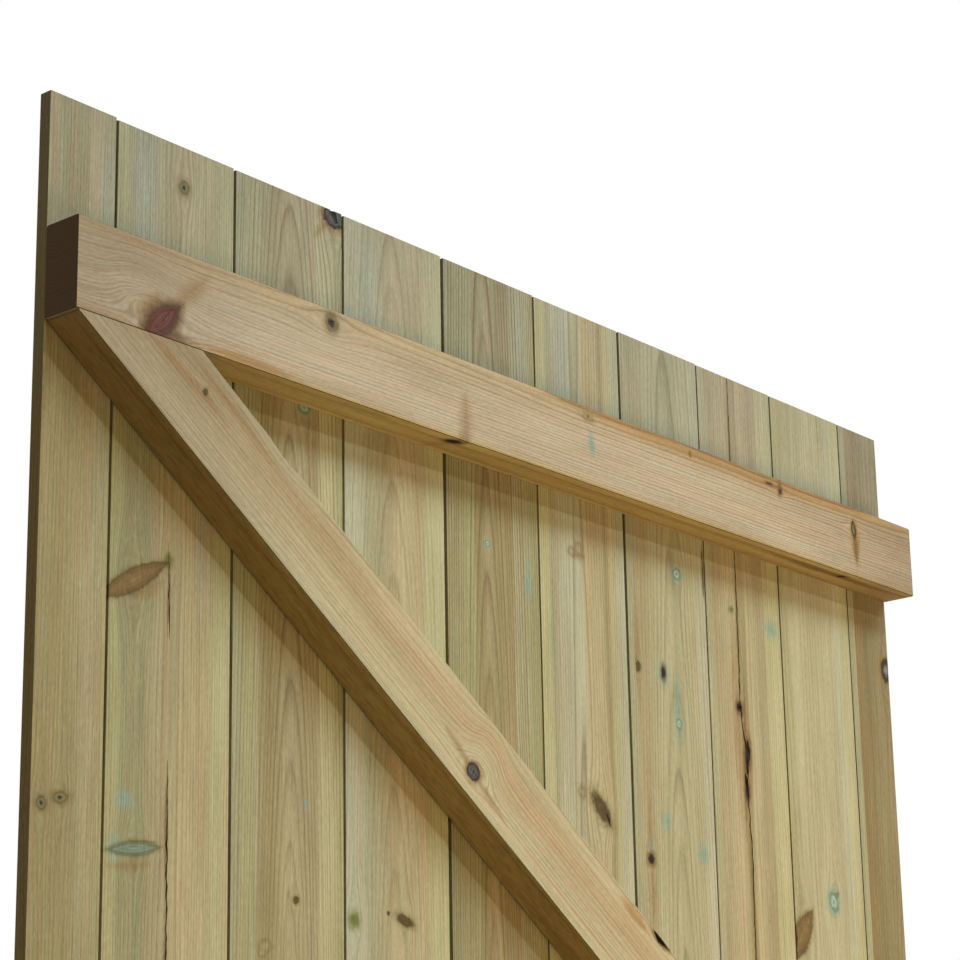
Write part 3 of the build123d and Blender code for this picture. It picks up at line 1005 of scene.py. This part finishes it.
def screw_tree():
    tree = bpy.data.node_groups.new("countersunk_heads", "GeometryNodeTree")
    face = tree.interface
    face.new_socket("Geometry", in_out="INPUT", socket_type="NodeSocketGeometry")
    for name in ("Head Radius", "Neck Radius", "Head Depth"):
        face.new_socket(name, in_out="INPUT", socket_type="NodeSocketFloat")
    face.new_socket("Cross", in_out="INPUT", socket_type="NodeSocketBool")
    face.new_socket("Finish", in_out="INPUT", socket_type="NodeSocketMaterial")
    face.new_socket("Geometry", in_out="OUTPUT", socket_type="NodeSocketGeometry")
    given = add(tree, "NodeGroupInput").outputs
    cone = add(tree, "GeometryNodeMeshCone", {"Vertices": HEAD_SIDES,
            "Radius Bottom": given["Head Radius"], "Radius Top": given["Neck Radius"],
            "Depth": given["Head Depth"]})
    bar = add(tree, "GeometryNodeMeshCube", {"Size": (CROSS_LENGTH, CROSS_WIDTH, CROSS_DEPTH * 2)})
    other_bar = add(tree, "GeometryNodeTransform", {"Geometry": bar, "Rotation": (0, 0, math.pi / 2)})
    cross = add(tree, "GeometryNodeMeshBoolean", {"Mesh 2": bar}, operation="UNION", solver="EXACT")
    tree.links.new(other_bar.outputs[0], cross.inputs["Mesh 2"])
    crossed = add(tree, "GeometryNodeMeshBoolean", {"Mesh 1": cone, "Mesh 2": cross},
            operation="DIFFERENCE", solver="EXACT")
    chosen = add(tree, "GeometryNodeSwitch", {"Switch": given["Cross"], "False": cone, "True": crossed},
            input_type="GEOMETRY")
    facing_front = add(tree, "GeometryNodeTransform", {"Geometry": chosen, "Rotation": (math.pi / 2, 0, 0)})
    turn = add(tree, "FunctionNodeRandomValue", {"Max": (0, math.pi / 2, 0), "Seed": TURN_SEED},
            data_type="FLOAT_VECTOR")
    placed = add(tree, "GeometryNodeInstanceOnPoints", {"Points": given["Geometry"],
            "Instance": facing_front, "Rotation": turn})
    real = add(tree, "GeometryNodeRealizeInstances", {"Geometry": placed})
    finished = add(tree, "GeometryNodeSetMaterial", {"Geometry": real, "Material": given["Finish"]})
    add(tree, "NodeGroupOutput", {"Geometry": finished})
    return tree


def settle(piece):
    """Turns a piece and its modifiers into a plain mesh."""
    graph = bpy.context.evaluated_depsgraph_get()
    mesh = bpy.data.meshes.new_from_object(piece.evaluated_get(graph))
    piece.modifiers.clear()
    piece.data = mesh
    return piece


def heads_at(name, places, grow, cross, finish):
    """Screw heads, or countersinks grown by a clearance, as one mesh."""
    points = bpy.data.meshes.new(name)
    points.from_pydata(places, [], [])
    piece = add_object(name, points)
    modifier = piece.modifiers.new("heads", "NODES")
    modifier.node_group = heads_tree
    values = {"Head Radius": HEAD_RADIUS + grow, "Neck Radius": HEAD_RADIUS * NECK_SHARE + grow,
            "Head Depth": HEAD_DEPTH + grow, "Cross": cross, "Finish": finish}
    for item in heads_tree.interface.items_tree:
        if item.name in values:
            modifier[item.identifier] = values[item.name]
    return settle(piece)


heads_tree = screw_tree()
print("tree inputs:", [item.name for item in heads_tree.interface.items_tree])

# %% [markdown]
# Gate screws are zinc plated steel, and a bath of yellow passivate keeps the zinc from
# chalking. It gives the eye a pale brass colour in uneven patches. The plating scatters
# light, so the glint is soft.

# %% Yellow passivated steel
SCREW_MOTTLE_MM = 1.5
SCREW_TONES = [(0.35, "#9a8c62"), (0.55, "#b3a473"), (0.7, "#bfb48a")]
SCREW_GLOSS = (0.32, 0.5)


def passivated_steel():
    material = bpy.data.materials.new("yellow_passivated_steel")
    tree = empty_tree(material)
    place = add(tree, "TexCoord").outputs["Object"]
    mottle = add(tree, "TexNoise", {"Vector": place, "Scale": 1 / (SCREW_MOTTLE_MM * MM), "Detail": 2.0})
    tone = add(tree, "ValToRGB", {"Fac": mottle})
    set_stops(tone, [(place, linear(shade)) for place, shade in SCREW_TONES])
    gloss = add(tree, "MapRange", {"Value": mottle, "To Min": SCREW_GLOSS[0], "To Max": SCREW_GLOSS[1]})
    surface = add(tree, "BsdfPrincipled", {"Base Color": tone, "Metallic": 1.0, "Roughness": gloss})
    add(tree, "OutputMaterial", {"Surface": surface})
    return material


screw_finish = passivated_steel()
print("screw finish:", screw_finish.name)

# %% [markdown]
# A CAD node is never changed, so a cut board is a copy that stands in for its node. The
# copy's loose triangles are merged first. An exact Boolean then takes out the cracks, the
# pockets and the countersinks.

# %% Cut copies
MERGE_DISTANCE = 0.01 * MM
FLAT_ANGLE = math.radians(0.5)


def stand_in(node, cutters):
    """A merged copy of a node with the cutters taken out, in the node's place."""
    source = frame["nodes"][node]
    form = bmesh.new()
    form.from_mesh(source.data)
    bmesh.ops.remove_doubles(form, verts=form.verts, dist=MERGE_DISTANCE)
    bmesh.ops.dissolve_limit(form, angle_limit=FLAT_ANGLE, verts=form.verts, edges=form.edges)
    piece = add_object("cut_" + node, as_mesh(form, "cut_" + node))
    piece.data.materials.append(source.data.materials[0])
    tools = bpy.data.collections.new("cutters")
    bpy.context.scene.collection.children.link(tools)
    for cutter in cutters:
        tools.objects.link(bpy.data.objects.new("cutter", cutter))
    cut = piece.modifiers.new("cut", "BOOLEAN")
    cut.operation = "DIFFERENCE"
    cut.operand_type = "COLLECTION"
    cut.collection = tools
    cut.solver = "EXACT"
    cut.use_self = True
    settle(piece)
    for tool in list(tools.objects):
        bpy.data.objects.remove(tool)
    bpy.data.collections.remove(tools)
    tidy = bmesh.new()
    tidy.from_mesh(piece.data)
    bmesh.ops.triangulate(tidy, faces=tidy.faces)
    tidy.to_mesh(piece.data)
    tidy.free()
    for polygon in piece.data.polygons:
        polygon.use_smooth = False
    piece.data.materials.clear()
    piece.data.materials.append(source.data.materials[0])
    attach(piece, "root")
    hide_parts(node)
    return piece


def on_board(node, line):
    """Turns across, down and size in millimetres into x, z and size in metres."""
    middle = face_middle(node)
    return [(middle + across * MM, gate_top - down * MM, size * MM) for across, down, size in line]


COUNTERSINK_GAP = 0.25 * MM
for number, node in enumerate(board_figures):
    sinks = [(x, board_front + HEAD_SUNK, z) for x, y, z in screw_places[node]]
    countersinks = heads_at("countersinks", sinks, COUNTERSINK_GAP + 2 * HEAD_SUNK, False, screw_finish)
    cutters = [countersinks.data]
    bpy.data.objects.remove(countersinks)
    cracks = BOARD_CRACKS.get(node, [])
    pockets = BOARD_POCKETS.get(node, [])
    seed = number * SEEDS_PER_PIECE
    cutters += cutters_on(on_board, node, board_back, cracks, pockets, seed, seed)
    board = stand_in(node, cutters)
    print(node, "cutters:", len(cutters), "triangles:", len(board.data.polygons))

# %% Drive the screws
all_places = [place for places in screw_places.values() for place in places]
screws = heads_at("board_screws", all_places, 0, True, screw_finish)
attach(screws, "root")
print("screw triangles:", sum(len(face.vertices) - 2 for face in screws.data.polygons))

# %% [markdown]
# The upper brace has bark left along one edge and a small torn pocket further down. The
# knots of the ledge and the brace have dried faster than the wood round them, so they are
# split by fine checks.

# %% Cut the ledge and the brace
def on_rail(node, line):
    """Turns along, across and size in millimetres into x, z and size, down a rail's own slope."""
    figure = rail_figures[node]
    down_slope = Vector((figure["grain_way"][0], figure["grain_way"][2]))
    across_way = Vector((-down_slope.y, down_slope.x))
    start = Vector((figure["start"].x, figure["start"].z)) + across_way * figure["start_across"] * MM
    places = []
    for along, across, size in line:
        x, z = start + down_slope * along * MM + across_way * across * MM
        places.append((x, z, size * MM))
    return places


RAIL_CRACKS = {
    "top_ledge": [
        ([(250, 24, 0.3), (255, 25, 1.3), (259, 26, 0.3)], 1.5),
        ([(255, 21.5, 0.3), (255, 25, 1.0), (254.5, 28, 0.3)], 1.2),
        ([(74, -29, 0.3), (81, -22, 1.1), (90, -10, 0.4)], 1.2),
        ([(987, 4, 0.3), (989, 14, 1.1), (990, 24, 0.3)], 1.2),
    ],
    "upper_brace": [
        ([(488, -15, 0.3), (493, -15, 1.4), (498, -15, 0.3)], 1.8),
        ([(493, -10, 0.3), (493.5, -15, 1.1), (493, -20, 0.3)], 1.5),
    ],
}
RAIL_POCKETS = {
    "top_ledge": [],
    "upper_brace": [
        ([(172, 36, 0.4), (188, 36, 2.6), (204, 35.5, 3.6), (216, 36, 2.8), (228, 36, 0.4)], 1.6),
        ([(738, 33, 0.6), (747, 31, 2.6), (755, 32, 1.6), (764, 33, 0.5)], 0.9),
    ],
}
RAIL_CRACK_SEED = 200
RAIL_POCKET_SEED = 300
for number, node in enumerate(RAIL_CRACKS):
    seed = number * SEEDS_PER_PIECE
    cutters = cutters_on(on_rail, node, 0.0, RAIL_CRACKS[node], RAIL_POCKETS[node],
            RAIL_CRACK_SEED + seed, RAIL_POCKET_SEED + seed)
    rail = stand_in(node, cutters)
    print(node, "cutters:", len(cutters), "triangles:", len(rail.data.polygons))

# %% [markdown]
# The shadows under the top ledge say how the gate was lit. A long cool strip light high
# in front throws one shadow as deep as the ledge. A small lamp lower down makes the
# darker band inside it. A warm fill from low on the hanging side lifts the undersides,
# and nothing lights the closing side, which is why the end faces there are dark. One more
# soft lamp lights the flat front for the views from that side.

# %% Lamps
def lamp(name, place, aim, size, watts, colour):
    light = bpy.data.lights.new(name, "AREA")
    light.shape = "RECTANGLE"
    light.size, light.size_y = size
    light.energy = watts
    light.color = linear(colour)[:3]
    holder = add_object(name, light)
    facing = (Vector(aim) - Vector(place)).to_track_quat("-Z", "Y").to_matrix().to_4x4()
    holder.matrix_world = Matrix.Translation(place) @ facing
    holder.visible_camera = False
    return holder


LIT_BELOW_TOP = 0.4
lit_place = (gate_middle, board_back, gate_top - LIT_BELOW_TOP)
lamp("strip_light", (gate_middle + 3.2, -7.2, gate_top + 8.8), lit_place, (15.0, 1.1), 2000, "#d5eaff")
lamp("small_lamp", (gate_middle + 1.4, -7.2, gate_top + 3.5), lit_place, (0.35, 0.35), 110, "#ffffff")
lamp("low_fill", (gate_middle + 1.25, -1.64, gate_foot + 0.3), lit_place, (1.2, 0.6), 24, "#ffd69c")
lamp("front_light", (gate_middle + 1.5, 4.0, 3.2), lit_place, (3.0, 3.0), 190, "#fff8ee")
print("lamps:", len(bpy.data.lights))

# %% [markdown]
# The floor is plain and pale. The camera sees it nearly white, so it runs into the white
# sky with no hard horizon, and close to the gate it still takes the shadow. The wood
# only gets a little warm light back from it.

# %% Floor and sky
FLOOR_GAP = 1 * MM
FLOOR_SIZE = 14
SHADOW_NEAR = 0.8
SHADOW_FAR = 3.2
GLOW_NEAR = 0.62
BOUNCE_FROM_SKY = 0.06

floor_mesh = bpy.data.meshes.new("floor")
floor_height = gate_foot - FLOOR_GAP
signs = ((-1, -1), (1, -1), (1, 1), (-1, 1))
corners = [(gate_middle + sx * FLOOR_SIZE, sy * FLOOR_SIZE, floor_height) for sx, sy in signs]
floor_mesh.from_pydata(corners, [], [(0, 1, 2, 3)])
floor = add_object("floor", floor_mesh)

# The low lamp stands just above the floor and would leave a bright patch on it
spared = bpy.data.collections.new("spared_by_low_fill")
spared.objects.link(floor)
spared.collection_objects[0].light_linking.link_state = "EXCLUDE"
bpy.data.objects["low_fill"].light_linking.receiver_collection = spared


def seen_directly(tree):
    """1 where the camera, a reflection or a see-through ray looks, 0 for light that bounces."""
    rays = add(tree, "LightPath")
    seen = add(tree, "Math", rays.outputs["Is Camera Ray"], rays.outputs["Is Glossy Ray"],
            operation="MAXIMUM")
    return add(tree, "Math", seen, rays.outputs["Is Transmission Ray"], operation="MAXIMUM")


paint = bpy.data.materials.new("pale_studio_floor")
tree = empty_tree(paint)
place = add(tree, "TexCoord").outputs["Object"]
from_gate = add(tree, "VectorMath", place, (gate_middle, 0, floor_height), operation="DISTANCE")
fade = add(tree, "MapRange", {"Value": from_gate.outputs["Value"], "From Min": SHADOW_NEAR,
        "From Max": SHADOW_FAR, "To Min": GLOW_NEAR, "To Max": 1.0})
glow_share = add(tree, "Math", fade, seen_directly(tree), operation="MULTIPLY")
matt = add(tree, "BsdfDiffuse", {"Color": linear("#b39f80")})
glow = add(tree, "Emission", {"Color": (1, 1, 1, 1), "Strength": 1.0})
blended = add(tree, "MixShader", glow_share, matt, glow)
add(tree, "OutputMaterial", {"Surface": blended})
floor_mesh.materials.append(paint)

world = bpy.data.worlds.new("studio")
bpy.context.scene.world = world
sky = empty_tree(world)
dim = add(sky, "Background", {"Color": linear("#ffdcb0"), "Strength": BOUNCE_FROM_SKY})
white = add(sky, "Background", {"Color": (1, 1, 1, 1), "Strength": 1.0})
both = add(sky, "MixShader", seen_directly(sky), dim, white)
add(sky, "OutputWorld", {"Surface": both})
print("floor at mm:", round(floor_height / MM, 1))
